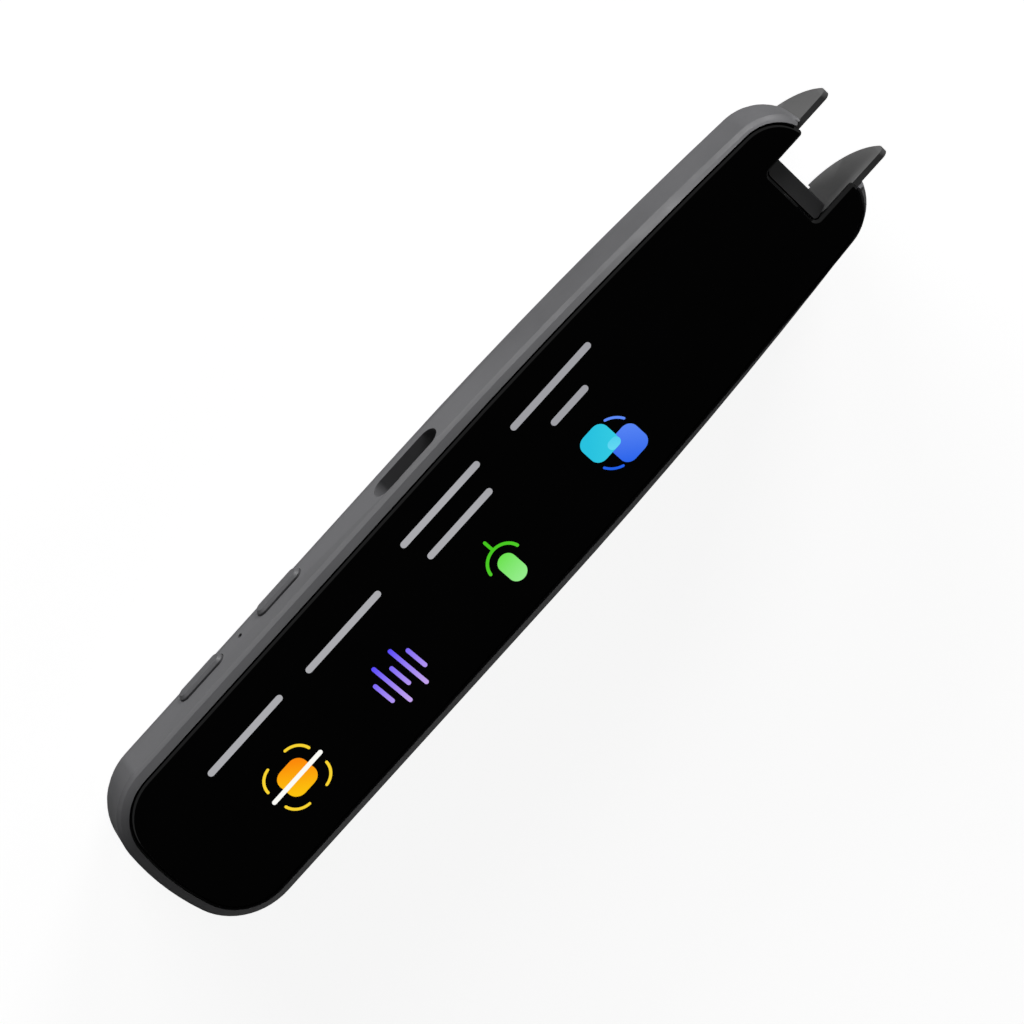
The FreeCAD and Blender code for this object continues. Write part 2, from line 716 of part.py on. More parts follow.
def make_nib_switch():
    """A small switch on the floor with a bore for the nib's push stem."""
    case = block("nib_switch_case", SWITCH_FACE, "-nib_switch_width / 2", "floor", "nib_switch_length",
                 "nib_switch_width", "2 * (nib_stem_level - floor)")
    bore = rod("nib_switch_bore", SWITCH_FACE + " - 0.5", "0", "nib_stem_level",
               "nib_stem_diameter + fit", "nib_stem_length + 0.6", "X")
    return cut("nib_switch", case, bore)


def make_scan_window():
    return block("scan_window", "-%s + 0.2" % GAP_BACK, "-window_width / 2", WINDOW_LOW,
                 "window_thickness", "window_width", "window_height")


# Faces of the lamps, their board and the lens, counted from the back of the scanning gap
LAMP_FACE = "(-%s + window_thickness + 0.8)" % GAP_BACK
LENS_FACE = "(%s + fit)" % LAMP_FACE


def make_light_board():
    """The board behind the window that carries the lamps, with a hole for the lens."""
    face = "%s + lamp_height" % LAMP_FACE
    plate = block("light_plate", face, "-window_width / 2", WINDOW_LOW, "light_board_thickness",
                  "window_width", "window_height - fit")
    hole = rod("light_hole", face + " - 0.5", "0", "window_level", "lens_diameter + 2 * fit",
               "light_board_thickness + 1", "X")
    return cut("light_board", plate, hole)


def make_scan_lamps():
    lamps = [block("scan_lamp_%d" % side, LAMP_FACE, "%d * lamp_place - lamp_size / 2" % side,
                   "window_level - lamp_size / 2", "lamp_height", "lamp_size", "lamp_size")
             for side in (-1, 1)]
    return group("scan_lamps", lamps)


def make_camera_lens():
    """A glass disc with a bevelled face in the mouth of the camera barrel."""
    body = new_body("camera_lens")
    sketch = new_sketch(body, "LensFace", "YZ_Plane", LENS_FACE)
    circle(sketch, "0", "window_level", "lens_diameter - 2 * lens_rim")
    disc = pad(body, sketch, "lens_thickness", "LensDisc")
    front = number(LENS_FACE)
    bevel_edges(body, disc, "lens_thickness / 3",
                lambda e: abs(e.BoundBox.XMax - front) < 1e-4, "LensBevel")
    return body


def make_camera_module():
    """The camera: a square sensor housing with a round barrel that reaches to the lamps' board."""
    housing = block("camera_housing", CAMERA_FACE, "-camera_width / 2", WINDOW_LOW, "camera_depth",
                    "camera_width", "window_height")
    barrel = rod("camera_barrel", LENS_FACE, "0", "window_level", "lens_diameter",
                 "%s - %s + 0.2" % (CAMERA_FACE, LENS_FACE), "X")
    mouth = rod("camera_mouth", LENS_FACE + " - 0.1", "0", "window_level", "lens_diameter - 2 * lens_rim",
                "lens_thickness + 0.1", "X")
    return cut("camera_module", join("camera_solid", [housing, barrel]), mouth)


def make_camera_bracket():
    """A bridge on the floor that holds the camera from behind and at both sides."""
    top = "window_level + window_height / 2 + 0.5"
    outer = "camera_width / 2 + fit + bracket_leg"
    plate = block("bracket_plate", "%s + camera_depth" % CAMERA_FACE, "-(%s)" % outer, WINDOW_LOW,
                  "bracket_thickness", "2 * (%s)" % outer, "%s - %s" % (top, WINDOW_LOW))
    legs = [block("bracket_leg_%d" % i, CAMERA_FACE + " + 0.3", place, "floor",
                  "camera_depth + bracket_thickness - 0.3", "bracket_leg", "%s - floor" % top)
            for i, place in enumerate(("-(%s)" % outer, "camera_width / 2 + fit"))]
    return join("camera_bracket", [plate] + legs)


def make_camera_flex():
    """The camera's flat cable, over the battery and down to the main board."""
    body = new_body("camera_flex")
    sketch = new_sketch(body, "FlexSide", "XZ_Plane", "0")
    start = "%s + camera_depth + bracket_thickness + fit / 2" % CAMERA_FACE
    low = BATTERY_TOP + " + fit / 2"
    high = low + " + flex_thickness"
    far = "board_start + 1 + connector_depth + 0.2"
    near = far + " - connector_depth"
    seat = BOARD_TOP + " + connector_height"
    corners_outline(sketch, [
        (start, low), (far + " - flex_thickness", low),
        (far + " - flex_thickness", seat + " + flex_thickness"),
        (near, seat + " + flex_thickness"), (near, seat), (far, seat), (far, high), (start, high)])
    pad_mid(body, sketch, "camera_flex_width", "FlexStrip")
    return body


def make_display_panel():
    """The display: a flat module whose rim stands a little proud of the picture area."""
    width = "2 * (%s - display_side_gap)" % WALL_IN
    body = new_body("display_panel")
    sketch = new_sketch(body, "PanelPlan", "XY_Plane", FRAME_TOP)
    rectangle(sketch, DISPLAY_END + " - display_length", DISPLAY_END,
              "-(%s) / 2" % width, "(%s) / 2" % width)
    pad(body, sketch, "display_thickness", "PanelPlate")
    sketch = new_sketch(body, "PicturePlan", "XY_Plane", GLASS_BASE)
    rectangle(sketch, DISPLAY_END + " - display_length + display_end_rim", DISPLAY_END + " - display_end_rim",
              "-display_width / 2", "display_width / 2")
    pocket(body, sketch, "display_rim_height", "PictureArea")
    return body


def make_display_flex():
    """The display's flat cable, round the panel's end and down through the frame."""
    body = new_body("display_flex")
    sketch = new_sketch(body, "FlexSide", "XZ_Plane", "0")
    high = GLASS_BASE + " - display_thickness / 3"
    out = DISPLAY_END + " + flex_loop"
    back = DISPLAY_END + " - flex_loop"
    seat = BOARD_TOP + " + connector_height"
    corners_outline(sketch, [
        (DISPLAY_END, high), (DISPLAY_END, high + " - flex_thickness"),
        (out + " - flex_thickness", high + " - flex_thickness"),
        (out + " - flex_thickness", seat + " + flex_thickness"),
        (back, seat + " + flex_thickness"), (back, seat), (out, seat), (out, high)])
    pad_mid(body, sketch, "display_flex_width", "FlexStrip")
    return body


def make_connectors():
    """The two board sockets for the flat cables."""
    places = (("display", DISPLAY_END + " - flex_loop - 0.2", "display_flex_width + 1"),
              ("camera", "board_start + 1", "camera_flex_width + 0.8"))
    sockets = [block(name + "_connector", x, "-(%s) / 2" % width, BOARD_TOP, "connector_depth", width,
                     "connector_height") for name, x, width in places]
    return group("board_connectors", sockets)


# Faces of the speaker's parts, counted in from the wall
MESH_FACE = "(%s - fit / 2)" % WALL_IN
GASKET_FACE = "(%s - mesh_thickness)" % MESH_FACE
SPEAKER_FACE = "(%s - gasket_thickness)" % GASKET_FACE
SPEAKER_HALF = "(speaker_slot_length / 2 + speaker_overhang)"
SLOT_LOW = "(%s - speaker_slot_height / 2 - 0.5)" % SLOT_LEVEL
SLOT_HIGH = "(%s + speaker_slot_height / 2 + 0.4)" % SLOT_LEVEL


def make_mid_frame():
    """The tray that carries the display and is screwed to the housing's bosses."""
    body = new_body("mid_frame")
    sketch = new_sketch(body, "FramePlan", "XY_Plane", FRAME_BASE)
    cavity_outline(sketch, "fit", "(%s - frame_nose_gap)" % CAVITY_NOSE)
    pad(body, sketch, "frame_thickness", "FramePlate")
    sketch = new_sketch(body, "FrameCuts", "XY_Plane", FRAME_TOP)
    rectangle(sketch, "speaker_slot_place - %s - 1" % SPEAKER_HALF,
              "speaker_slot_place + %s + 1" % SPEAKER_HALF,
              "-body_width / 2", "-%s + speaker_depth + 0.8" % SPEAKER_FACE)
    flex_side = "(display_flex_width / 2 + 0.7)"
    rectangle(sketch, DISPLAY_END + " + flex_loop - 0.7", DISPLAY_END + " + flex_loop + 0.7",
              "-" + flex_side, flex_side)
    pocket(body, sketch, "frame_thickness + 0.5", "FrameOpenings")
    sketch = new_sketch(body, "ScrewHoles", "XY_Plane", FRAME_TOP)
    for x, y in SCREW_SPOTS:
        circle(sketch, x, y, "screw_diameter + 2 * fit")
    pocket(body, sketch, "frame_thickness + 0.5", "ScrewClearance")
    sketch = new_sketch(body, "ScrewSeats", "XY_Plane", FRAME_TOP)
    for x, y in SCREW_SPOTS:
        circle(sketch, x, y, "screw_head + 2 * fit")
    pocket(body, sketch, "screw_head_height + fit / 2", "ScrewCounterbores")
    return body


def make_screw(name, x, y, seat, length):
    """A round head with a hexagon socket and a plain shank, standing on its seat."""
    head = rod(name + "_head", x, y, seat, "screw_head", "screw_head_height")
    shank = rod(name + "_shank", x, y, "%s - %s" % (seat, length), "screw_diameter - fit",
                length + " + 0.2")
    socket = doc.addObject("Part::Prism", name + "_socket")
    socket.Polygon = 6
    bind(socket, "Circumradius", "screw_socket / 2")
    bind(socket, "Height", "screw_head_height")
    put(socket, x, y, "%s + screw_head_height / 2" % seat)
    return cut(name, join(name + "_solid", [head, shank]), socket)


def make_frame_screws():
    seat = FRAME_TOP + " - screw_head_height - fit / 2"
    return group("frame_screws", [make_screw("frame_screw_%d" % i, x, y, seat, "frame_screw_length")
                                  for i, (x, y) in enumerate(SCREW_SPOTS)])


def make_board_screws():
    return group("board_screws", [make_screw("board_screw_%d" % i, x, y, BOARD_TOP, "board_screw_length")
                                  for i, (x, y) in enumerate(BOARD_SCREW_SPOTS)])


# The battery lies behind the nose screws
BATTERY_START = "(%s + battery_gap)" % NOSE_SCREW_X


def make_battery_tape():
    return block("battery_tape", BATTERY_START + " + tape_inset", "-battery_width / 2 + tape_inset", "floor",
                 "battery_length - 2 * tape_inset", "battery_width - 2 * tape_inset", "tape_thickness")


def make_battery():
    """A pouch cell with rounded long edges."""
    body = new_body("battery")
    sketch = new_sketch(body, "CellPlan", "XY_Plane", "floor + tape_thickness")
    rectangle(sketch, BATTERY_START, BATTERY_START + " + battery_length",
              "-battery_width / 2", "battery_width / 2")
    cell = pad(body, sketch, "battery_thickness", "Cell")
    round_edges(body, cell, "battery_thickness / 4",
                lambda e: e.BoundBox.XLength > 0.9 * number("battery_length"), "CellRounding")
    return body


def make_main_board():
    body = new_body("main_board")
    sketch = new_sketch(body, "BoardPlan", "XY_Plane", BOARD_BASE)
    end = "tail_end - %s - board_side_gap" % CAVITY_INSET
    tongue = "(%s - boss_diameter / 2 - board_gap)" % TAIL_SCREW_Y
    corners_outline(sketch, [
        ("board_start", BOARD_LOW), (BOARD_NECK, BOARD_LOW), (BOARD_NECK, "-" + tongue), (end, "-" + tongue),
        (end, tongue), (BOARD_NECK, tongue), (BOARD_NECK, BOARD_HIGH), ("board_start", BOARD_HIGH)])
    pad(body, sketch, "board_thickness", "BoardPlate")
    sketch = new_sketch(body, "BoardHoles", "XY_Plane", BOARD_TOP)
    for x, y in BOARD_SCREW_SPOTS:
        circle(sketch, x, y, "screw_diameter + 2 * fit")
    pocket(body, sketch, "board_thickness + 0.5", "BoardDrilling")
    return body


def make_shield_can():
    outer = block("can_outer", "can_place", "-can_width / 2", BOARD_TOP,
                  "can_length", "can_width", "can_height")
    inner = block("can_inner", "can_place + can_wall", "-can_width / 2 + can_wall", BOARD_TOP + " - 0.5",
                  "can_length - 2 * can_wall", "can_width - 2 * can_wall", "can_height - can_wall + 0.5")
    return cut("shield_can", outer, inner)


def make_processor():
    return block("processor", "can_place + can_length / 2 - processor_size / 2", "-processor_size / 2",
                 BOARD_TOP, "processor_size", "processor_size", "processor_height")


def make_usb_socket():
    """A round-ended metal sleeve with a contact tongue, standing on the main board."""
    body = new_body("usb_socket")
    mouth = "tail_end - port_mouth_depth"
    sketch = new_sketch(body, "SleeveFace", "YZ_Plane", mouth)
    pill(sketch, "0", MID_LEVEL, "port_width", "port_height")
    pad(body, sketch, "port_depth", "Sleeve", reverse=True)
    sketch = new_sketch(body, "MouthFace", "YZ_Plane", mouth)
    pill(sketch, "0", MID_LEVEL, "port_width - 2 * port_sheet", "port_height - 2 * port_sheet")
    pocket(body, sketch, "port_depth - port_back", "Mouth")
    sketch = new_sketch(body, "TongueFace", "YZ_Plane", mouth + " - port_depth + port_back / 2")
    rectangle(sketch, "-tongue_width / 2", "tongue_width / 2", MID_LEVEL + " - tongue_thickness / 2",
              MID_LEVEL + " + tongue_thickness / 2")
    pad(body, sketch, "port_depth - 1.5 * port_back", "Tongue")
    return body


def make_key_board():
    """The upright side board behind the buttons, standing on the floor."""
    return block("key_board", "function_button_place - key_board_end", "-" + KEY_BOARD_FACE, "floor",
                 "power_button_place - function_button_place + 2 * key_board_end", "key_board_thickness",
                 FRAME_BASE + " - floor - fit")


def make_key_switch(label, place):
    """A small push switch on the side board, with a bore for its button's stem."""
    case = block(label + "_case", place + " - switch_length / 2", "-%s - switch_depth" % KEY_BOARD_FACE,
                 MID_LEVEL + " - switch_height / 2", "switch_length", "switch_depth", "switch_height")
    bore = rod(label + "_bore", place, "-%s - switch_depth - 0.5" % KEY_BOARD_FACE, MID_LEVEL,
               "button_stem + fit", "button_stem_reach + button_travel + 0.6", "Y")
    return cut(label, case, bore)


def make_button(label, place):
    """A pill-shaped cap with a bevelled face, a flange that keeps it in and a stem."""
    body = new_body(label)
    sketch = new_sketch(body, "CapFace", "XZ_Plane", WALL_IN + " - fit / 2")
    pill(sketch, place, MID_LEVEL, "button_length - 2 * button_gap", "button_height - 2 * button_gap")
    length = "body_width / 2 + button_proud - %s + fit / 2" % WALL_IN
    cap = pad(body, sketch, length, "Cap")
    face = -number("body_width / 2 + button_proud")
    bevel_edges(body, cap, "button_bevel", lambda e: abs(e.BoundBox.YMin - face) < 1e-4
                and abs(e.BoundBox.YMax - face) < 1e-4, "CapBevel")
    sketch = new_sketch(body, "FlangeFace", "XZ_Plane", WALL_IN + " - fit / 2")
    half = "(button_length / 2 + button_lip)"
    tall = "(button_height / 2 + button_lip)"
    rectangle(sketch, "%s - %s" % (place, half), "%s + %s" % (place, half),
              "%s - %s" % (MID_LEVEL, tall), "%s + %s" % (MID_LEVEL, tall))
    pad(body, sketch, "button_flange", "Flange", reverse=True)
    sketch = new_sketch(body, "StemFace", "XZ_Plane", "%s - fit / 2 - button_flange" % WALL_IN)
    circle(sketch, place, MID_LEVEL, "button_stem")
    pad(body, sketch, "stem_room - fit / 2 + button_stem_reach", "Stem", reverse=True)
    return body


def make_microphone():
    return block("microphone", "mic_hole_place - mic_size / 2", "-%s - mic_depth" % KEY_BOARD_FACE,
                 MID_LEVEL + " - mic_size / 3", "mic_size", "mic_depth", "mic_size / 1.5")


def make_microphone_boot():
    """A rubber tube between the hole in the wall and the microphone."""
    length = "%s - fit / 2 - %s - mic_depth" % (WALL_IN, KEY_BOARD_FACE)
    tube = rod("boot_tube", "mic_hole_place", "-%s + fit / 2" % WALL_IN, MID_LEVEL, "boot_diameter",
               length, "Y")
    bore = rod("boot_bore", "mic_hole_place", "-%s - 0.5" % WALL_IN, MID_LEVEL, "mic_hole_diameter",
               length + " + 1", "Y")
    return cut("microphone_boot", tube, bore)


def make_speaker_mesh():
    """The perforated sheet behind the speaker slot: staggered rows of square holes."""
    body = new_body("speaker_mesh")
    sketch = new_sketch(body, "MeshFace", "XZ_Plane", MESH_FACE)
    half = "(speaker_slot_length / 2 + mesh_border)"
    rectangle(sketch, "speaker_slot_place - " + half, "speaker_slot_place + " + half, SLOT_LOW, SLOT_HIGH)
    pad(body, sketch, "mesh_thickness", "MeshPlate", reverse=True)
    sketch = new_sketch(body, "MeshHoles", "XZ_Plane", MESH_FACE)
    rows = int(number("speaker_slot_height") / number("mesh_pitch"))
    count = int((number("speaker_slot_length") - 1.0) / number("mesh_pitch"))
    for row in range(rows):
        up = "%s + %.1f * mesh_pitch" % (SLOT_LEVEL, row - (rows - 1) / 2)
        in_row = count - row % 2
        for place in range(in_row):
            across = "speaker_slot_place + %.1f * mesh_pitch" % (place - (in_row - 1) / 2)
            rectangle(sketch, across + " - mesh_hole / 2", across + " + mesh_hole / 2",
                      up + " - mesh_hole / 2", up + " + mesh_hole / 2")
    pocket(body, sketch, "mesh_thickness + 0.2", "MeshDrilling")
    return body


def make_speaker_gasket():
    """A foam ring between the mesh and the speaker."""
    body = new_body("speaker_gasket")
    sketch = new_sketch(body, "GasketFace", "XZ_Plane", GASKET_FACE)
    half = "(speaker_slot_length / 2 + mesh_border)"
    opening = "(%s - gasket_width)" % half
    rectangle(sketch, "speaker_slot_place - " + half, "speaker_slot_place + " + half, SLOT_LOW, SLOT_HIGH)
    rectangle(sketch, "speaker_slot_place - " + opening, "speaker_slot_place + " + opening,
              SLOT_LOW + " + 0.7 * gasket_width", SLOT_HIGH + " - 0.7 * gasket_width")
    pad(body, sketch, "gasket_thickness", "GasketRing", reverse=True)
    return body


def make_speaker():
    """The sealed speaker box, its mouth facing the slot, standing on the floor."""
    low = "floor + fit"
    return block("speaker_module", "speaker_slot_place - " + SPEAKER_HALF, "-" + SPEAKER_FACE, low,
                 "2 * " + SPEAKER_HALF, "speaker_depth", "%s - speaker_top_gap - (%s)" % (FRAME_TOP, low))


BUILDERS = [
    make_back_shell, make_cover_glass, make_glass_adhesive, make_nose_trim, make_nib, make_nib_switch,
    make_scan_window, make_light_board, make_scan_lamps, make_camera_lens, make_camera_module,
    make_camera_bracket, make_camera_flex, make_display_panel, make_display_flex, make_connectors,
    make_mid_frame, make_frame_screws, make_board_screws, make_battery_tape, make_battery,
    make_main_board, make_shield_can, make_processor, make_usb_socket, make_key_board,
    make_microphone, make_microphone_boot, make_speaker_mesh, make_speaker_gasket, make_speaker,
]
nodes = [builder() for builder in BUILDERS]
for label, place in BUTTONS:
    nodes.append(make_button(label, place))
    nodes.append(make_key_switch(label.replace("button", "switch"), place))
doc.recompute()

faults = []
for thing in doc.Objects:
    if "Invalid" in thing.State or "Error" in thing.State:
        faults.append("%s: %s" % (thing.Name, thing.State))
for node in nodes:
    if node.Shape.isNull() or not node.Shape.isValid():
        faults.append("%s has no valid shape" % node.Label)
if faults:
    raise ValueError("; ".join(faults))
for node in nodes:
    node.Shape.exportStep("parts/%s.step" % node.Label)
    print(node.Label, len(node.Shape.Solids), round(node.Shape.Volume, 2), node.Shape.BoundBox)
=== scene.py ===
import bmesh
import bpy
import json
import math
from mathutils import Matrix, Vector


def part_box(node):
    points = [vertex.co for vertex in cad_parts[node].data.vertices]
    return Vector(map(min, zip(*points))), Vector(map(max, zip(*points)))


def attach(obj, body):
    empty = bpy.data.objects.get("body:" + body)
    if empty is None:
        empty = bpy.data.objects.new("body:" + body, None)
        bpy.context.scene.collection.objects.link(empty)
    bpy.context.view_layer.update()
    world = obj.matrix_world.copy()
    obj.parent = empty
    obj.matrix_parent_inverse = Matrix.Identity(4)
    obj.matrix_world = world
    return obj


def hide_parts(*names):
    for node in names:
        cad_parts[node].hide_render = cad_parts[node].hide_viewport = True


# Handheld scanning translator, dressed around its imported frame. Metres: X runs from the nib
# (negative) to the tail, -Y is the button side and +Z is the screen side.

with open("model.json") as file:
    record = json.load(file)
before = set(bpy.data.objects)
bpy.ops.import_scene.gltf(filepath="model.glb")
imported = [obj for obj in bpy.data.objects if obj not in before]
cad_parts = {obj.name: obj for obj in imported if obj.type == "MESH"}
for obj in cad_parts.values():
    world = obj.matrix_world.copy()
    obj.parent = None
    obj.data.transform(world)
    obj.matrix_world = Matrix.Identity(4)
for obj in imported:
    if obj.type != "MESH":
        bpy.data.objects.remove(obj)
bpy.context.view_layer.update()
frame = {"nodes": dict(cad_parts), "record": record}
nodes = frame["nodes"]
MM = 0.001
WHITE = (1, 1, 1, 1)
BLACK = (0, 0, 0, 1)


# Procedural materials

def shade(red, green, blue):
    """An sRGB colour from 0 to 255 as the linear colour that the shaders take."""
    def linear(value):
        value /= 255
        return value / 12.92 if value <= 0.04045 else ((value + 0.055) / 1.055) ** 2.4
    return (linear(red), linear(green), linear(blue), 1.0)


def scaled(color, factor):
    """A colour made lighter or darker."""
    return tuple(channel * factor for channel in color[:3]) + (1.0,)


class Nodes:
    """Adds and joins the nodes of one node tree."""

    def __init__(self, tree):
        self.tree = tree
        tree.nodes.clear()

    def add(self, kind, **settings):
        node = self.tree.nodes.new(kind)
        for name, value in settings.items():
            setattr(node, name, value)
        return node

    def put(self, node, **values):
        """Sets a node's inputs, with _ in place of each space in an input's name."""
        for name, value in values.items():
            node.inputs[name.replace("_", " ")].default_value = value
        return node

    def join(self, source, target):
        self.tree.links.new(source, target)

    def spread(self, value, low, high, start=0.3, end=0.7):
        """The value's range from start to end, laid out between low and high."""
        node = self.add("ShaderNodeMapRange")
        self.put(node, From_Min=start, From_Max=end, To_Min=low, To_Max=high)
        self.join(value, node.inputs["Value"])
        return node.outputs[0]

    def choose(self, ray, shader, otherwise):
        """One shader for a kind of ray and another for the rest."""
        node = self.add("ShaderNodeMixShader")
        for source, target in zip((ray, otherwise, shader), node.inputs):
            self.join(source, target)
        return node.outputs[0]


class Finish(Nodes):
    """One procedural material, with its nodes around a Principled shader."""

    def __init__(self, name):
        self.material = bpy.data.materials.new(name)
        self.material.use_nodes = True
        super().__init__(self.material.node_tree)
        self.out = self.add("ShaderNodeOutputMaterial")
        self.shader = self.add("ShaderNodeBsdfPrincipled")
        self.join(self.shader.outputs[0], self.out.inputs["Surface"])
        self.place = self.add("ShaderNodeTexCoord").outputs["Object"]

    def noise(self, size, detail=3.0, stretch=(1, 1, 1), seed=0.0):
        """Noise whose features are about size metres across."""
        mapping = self.add("ShaderNodeMapping")
        self.put(mapping, Scale=Vector(stretch) / size, Location=(seed, seed * 0.7, seed * 1.3))
        self.join(self.place, mapping.inputs["Vector"])
        noise = self.put(self.add("ShaderNodeTexNoise"), Scale=1.0, Detail=detail)
        self.join(mapping.outputs[0], noise.inputs["Vector"])
        return noise.outputs["Fac"]

    def ramp(self, value, first, last, start=0.3, end=0.7):
        """A ramp from the first colour at start to the last one at end."""
        node = self.add("ShaderNodeValToRGB")
        for element, position, color in zip(node.color_ramp.elements, (start, end), (first, last)):
            element.position = position
            element.color = color
        self.join(value, node.inputs["Fac"])
        return node.outputs["Color"]

    def mixer(self, **settings):
        """A colour mixing node, its two colour inputs and its colour output."""
        node = self.add("ShaderNodeMix", data_type="RGBA", **settings)
        first, second = [socket for socket in node.inputs if socket.type == "RGBA"]
        result = [socket for socket in node.outputs if socket.type == "RGBA"][0]
        return node, first, second, result

    def rubbed(self, body, worn, start=0.52, end=0.58):
        """The body's colour, worn to another one along outward edges."""
        pointed = self.add("ShaderNodeNewGeometry").outputs["Pointiness"]
        node, first, second, result = self.mixer()
        self.join(self.spread(pointed, 0, 1, start, end), node.inputs["Factor"])
        self.join(body, first)
        second.default_value = worn
        return result

    def color(self, source):
        self.join(source, self.shader.inputs["Base Color"])

    def rough(self, value, low, high, start=0.3, end=0.7):
        self.join(self.spread(value, low, high, start, end), self.shader.inputs["Roughness"])

    def bump(self, height, depth, strength):
        node = self.put(self.add("ShaderNodeBump"), Strength=strength, Distance=depth)
        self.join(height, node.inputs["Height"])
        self.join(node.outputs[0], self.shader.inputs["Normal"])


def moulded(name, color, rough, grain=0.12 * MM, wear=1.25):
    """Moulded or painted plastic: faint mottling, a fine spark-eroded grain and rubbed edges."""
    n = Finish(name)
    mottle = 0.08
    body = n.ramp(n.noise(12 * MM, detail=4), scaled(color, 1 - mottle), scaled(color, 1 + mottle))
    n.color(n.rubbed(body, scaled(color, wear)))
    n.rough(n.noise(4 * MM, seed=3), rough - 0.05, rough + 0.06)
    n.bump(n.noise(grain, detail=2, seed=7), depth=0.004 * MM, strength=0.6)
    n.put(n.shader, Specular_IOR_Level=0.4)
    return n.material


def metal(name, color, rough, stretch=(1, 1, 1), grain=0.4 * MM):
    """Metal with a rolled or brushed grain, slightly duller patches and rubbed edges."""
    n = Finish(name)
    tarnish, wear = 0.85, 1.15
    body = n.ramp(n.noise(6 * MM, detail=4), scaled(color, tarnish), color, start=0.35, end=0.65)
    n.color(n.rubbed(body, scaled(color, wear)))
    streaks = n.noise(grain, stretch=stretch, seed=5)
    n.rough(streaks, rough - 0.08, rough + 0.1)
    n.bump(streaks, depth=0.004 * MM, strength=0.5)
    n.put(n.shader, Metallic=1.0)
    return n.material


def polish(n):
    """The cover glass's surface: a hard polish with faint finger marks, whose noise it gives."""
    marks = n.noise(14 * MM, detail=6, stretch=(1, 1.6, 1), seed=2)
    n.rough(marks, 0.03, 0.09, start=0.45, end=0.8)
    n.bump(n.noise(20 * MM, detail=1, seed=9), depth=0.002 * MM, strength=0.2)
    n.put(n.shader, Specular_IOR_Level=0.35)
    return marks


def black_glass(name):
    """Black-backed cover glass."""
    n = Finish(name)
    marks = polish(n)
    n.color(n.ramp(marks, shade(0, 0, 0), shade(3, 3, 4), end=0.75))
    return n.material


def clear_glass(name, tint, rough):
    """Clear or tinted glass or resin, with a trace of haze."""
    n = Finish(name)
    haze = n.noise(3 * MM, detail=4)
    n.color(n.ramp(haze, scaled(tint, 0.9), tint))
    n.rough(haze, rough, rough + 0.04)
    n.bump(n.noise(4 * MM, detail=1, seed=4), depth=0.001 * MM, strength=0.2)
    n.put(n.shader, Transmission_Weight=0.9, IOR=1.5)
    return n.material


def circuit(name):
    """Green solder resist over copper tracks that run along and across the board."""
    n = Finish(name)
    track, drawn_out = 0.9 * MM, 0.12
    greater = n.add("ShaderNodeMath", operation="MAXIMUM")
    n.join(n.noise(track, detail=1, stretch=(drawn_out, 1, 1), seed=1), greater.inputs[0])
    n.join(n.noise(track, detail=1, stretch=(1, drawn_out, 1), seed=6), greater.inputs[1])
    tracks = greater.outputs[0]
    n.color(n.ramp(tracks, shade(14, 70, 38), shade(30, 104, 58), start=0.55, end=0.6))
    n.rough(tracks, 0.4, 0.25, start=0.5, end=0.62)
    n.bump(tracks, depth=0.03 * MM, strength=0.5)
    n.put(n.shader, Specular_IOR_Level=0.5)
    return n.material


def foil(name):
    """The battery's creased foil pouch."""
    n = Finish(name)
    creases = n.noise(5 * MM, detail=6, seed=2)
    n.color(n.ramp(creases, shade(168, 170, 174), shade(206, 208, 212)))
    n.rough(creases, 0.28, 0.42)
    n.bump(creases, depth=0.06 * MM, strength=0.6)
    n.put(n.shader, Metallic=1.0)
    return n.material


def film(name, color):
    """Flexible cable: glossy film over conductors that run along X."""
    n = Finish(name)
    wave = n.add("ShaderNodeTexWave", bands_direction="Y")
    n.put(wave, Scale=900.0, Distortion=0.4)
    n.join(n.place, wave.inputs["Vector"])
    ribs = wave.outputs["Fac"]
    n.color(n.ramp(ribs, scaled(color, 0.75), color))
    n.rough(n.noise(3 * MM), 0.25, 0.4)
    n.bump(ribs, depth=0.02 * MM, strength=0.5)
    return n.material


def dark_panel(name):
    """The display's unlit face with its fine picture grid."""
    n = Finish(name)
    grid = n.add("ShaderNodeTexBrick")
    n.put(grid, Scale=4000.0, Color1=shade(8, 9, 12), Color2=shade(12, 12, 16), Mortar=shade(2, 2, 3))
    n.join(n.place, grid.inputs["Vector"])
    n.color(grid.outputs["Color"])
    n.rough(n.noise(10 * MM), 0.12, 0.2)
    n.bump(n.noise(30 * MM, detail=1), depth=0.002 * MM, strength=0.2)
    return n.material


def rubber(name, color):
    """Soft, matt and finely pored: seals, tapes and glue."""
    n = Finish(name)
    pores = n.noise(0.3 * MM)
    n.color(n.ramp(pores, scaled(color, 0.8), scaled(color, 1.2), start=0.35, end=0.65))
    n.rough(pores, 0.67, 0.83)
    n.bump(pores, depth=0.04 * MM, strength=0.5)
    n.put(n.shader, Specular_IOR_Level=0.3)
    return n.material


